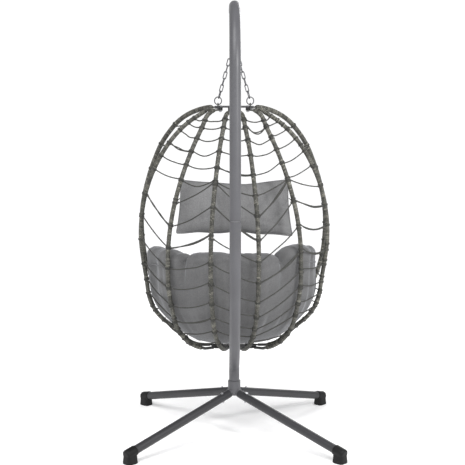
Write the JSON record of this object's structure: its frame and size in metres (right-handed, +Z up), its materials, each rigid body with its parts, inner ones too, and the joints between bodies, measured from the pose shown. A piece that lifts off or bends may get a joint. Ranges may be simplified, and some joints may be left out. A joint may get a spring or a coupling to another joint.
{
  "type": "hanging egg chair",
  "caption": "Hanging egg chair: folding rope-net basket with padded seat and head pillow, on chains from a C-shaped pole with a four-leg base.",
  "frame": {"origin": "centre of the four feet, on the floor", "axes": "+Z up, +Y forward the way a sitter faces, +X to the left seen from the front"},
  "size_m": [0.965, 0.965, 1.9685],
  "materials": {
    "stand_paint": "grey powder coat, fine texture, satin",
    "foot_plastic": "moulded black plastic, fine grain",
    "zinc": "zinc-plated steel",
    "chain_steel": "dark zinc chain",
    "rib_paint": "dark grey powder coat",
    "wicker": "grey-olive woven PE wicker with lighter flecks",
    "rope": "grey-olive round rope",
    "cushion_fabric": "grey woven polyester"
  },
  "bodies": {
    "stand": {"hub": "stand_paint", "leg_rear_left": "stand_paint", "leg_rear_right": "stand_paint", "leg_front_left": "stand_paint", "leg_front_right": "stand_paint", "foot_rear_left": "foot_plastic", "foot_rear_right": "foot_plastic", "foot_front_left": "foot_plastic", "foot_front_right": "foot_plastic", "leg_bolts": "zinc", "leg_nuts": "zinc", "collar_bolt": "zinc", "pole_lower": "stand_paint", "pole_upper": "stand_paint", "pole_spigot": "zinc", "spigot_screws": "zinc", "arm_cap": "foot_plastic", "arm_eye": "stand_paint"},
    "hook_link": {"hook": "zinc"},
    "swivel": {"swivel_eye": "zinc"},
    "basket": {"top_ring": "zinc", "chain_left": "chain_steel", "chain_right": "chain_steel", "ring_left": "chain_steel", "ring_right": "chain_steel", "frame_eye_left": "wicker", "frame_eye_right": "wicker", "top_plate": "rib_paint", "bottom_plate": "rib_paint", "rib_rear_left": "rib_paint", "rib_rear_right": "rib_paint", "wrap_rear_left": "wicker", "wrap_rear_right": "wicker", "top_bolts": "zinc", "top_nuts": "zinc", "bottom_bolts": "zinc", "bottom_nuts": "zinc", "net_rear": "rope", "net_back_left": "rope", "net_back_right": "rope", "seat_cushion": "cushion_fabric", "head_pillow": "cushion_fabric", "pillow_ties": "rope"},
    "back_left": {"rib_back_left": "rib_paint", "wrap_back_left": "wicker", "net_side_left": "rope"},
    "side_left": {"rib_side_left": "rib_paint", "wrap_side_left": "wicker", "net_rim_left": "rope"},
    "rim_left": {"rim_left": "rib_paint", "wrap_rim_left": "wicker"},
    "back_right": {"rib_back_right": "rib_paint", "wrap_back_right": "wicker", "net_side_right": "rope"},
    "side_right": {"rib_side_right": "rib_paint", "wrap_side_right": "wicker", "net_rim_right": "rope"},
    "rim_right": {"rim_right": "rib_paint", "wrap_rim_right": "wicker"}
  },
  "joints": [
    {"name": "swing_fore_aft", "type": "hinge", "parent": "stand", "child": "hook_link", "pos_m": [0, 0.02, 1.8647], "axis": [1, 0, 0], "range_deg": [-1, 12]},
    {"name": "swing_sideways", "type": "hinge", "parent": "hook_link", "child": "swivel", "pos_m": [0, 0.02, 1.8214], "axis": [0, 1, 0], "range_deg": [-5, 5]},
    {"name": "swivel_turn", "type": "hinge", "parent": "swivel", "child": "basket", "pos_m": [0, 0.02, 1.785], "axis": [0, 0, 1], "range_deg": [-18, 18]},
    {"name": "fold_back_left", "type": "hinge", "parent": "basket", "child": "back_left", "pos_m": [-0.062, 0.02, 1.5137], "axis": [0, -0.121, 0.9927], "range_deg": [0, 28], "deforming": ["net_back_left", "pillow_ties"]},
    {"name": "fold_side_left", "type": "hinge", "parent": "back_left", "child": "side_left", "pos_m": [-0.062, 0.02, 1.5137], "axis": [0, -0.121, 0.9927], "range_deg": [0, 19.6], "deforming": ["net_side_left"]},
    {"name": "fold_rim_left", "type": "hinge", "parent": "side_left", "child": "rim_left", "pos_m": [-0.062, 0.02, 1.5137], "axis": [0, -0.121, 0.9927], "range_deg": [0, 28.6], "deforming": ["net_rim_left"]},
    {"name": "fold_back_right", "type": "hinge", "parent": "basket", "child": "back_right", "pos_m": [0.062, 0.02, 1.5137], "axis": [0, 0.121, -0.9927], "range_deg": [0, 28.1], "deforming": ["net_back_right"]},
    {"name": "fold_side_right", "type": "hinge", "parent": "back_right", "child": "side_right", "pos_m": [0.062, 0.02, 1.5137], "axis": [0, 0.121, -0.9927], "range_deg": [0, 19.6], "deforming": ["net_side_right"]},
    {"name": "fold_rim_right", "type": "hinge", "parent": "side_right", "child": "rim_right", "pos_m": [0.062, 0.02, 1.5137], "axis": [0, 0.121, -0.9927], "range_deg": [0, 28.6], "deforming": ["net_rim_right"]}
  ],
  "couplings": [
    {"joint": "fold_side_left", "follows": "fold_back_left", "ratio": 0.69643},
    {"joint": "fold_rim_left", "follows": "fold_back_left", "ratio": 1.0179},
    {"joint": "fold_back_right", "follows": "fold_back_left", "ratio": 1},
    {"joint": "fold_side_right", "follows": "fold_back_left", "ratio": 0.69643},
    {"joint": "fold_rim_right", "follows": "fold_back_left", "ratio": 1.0179}
  ]
}
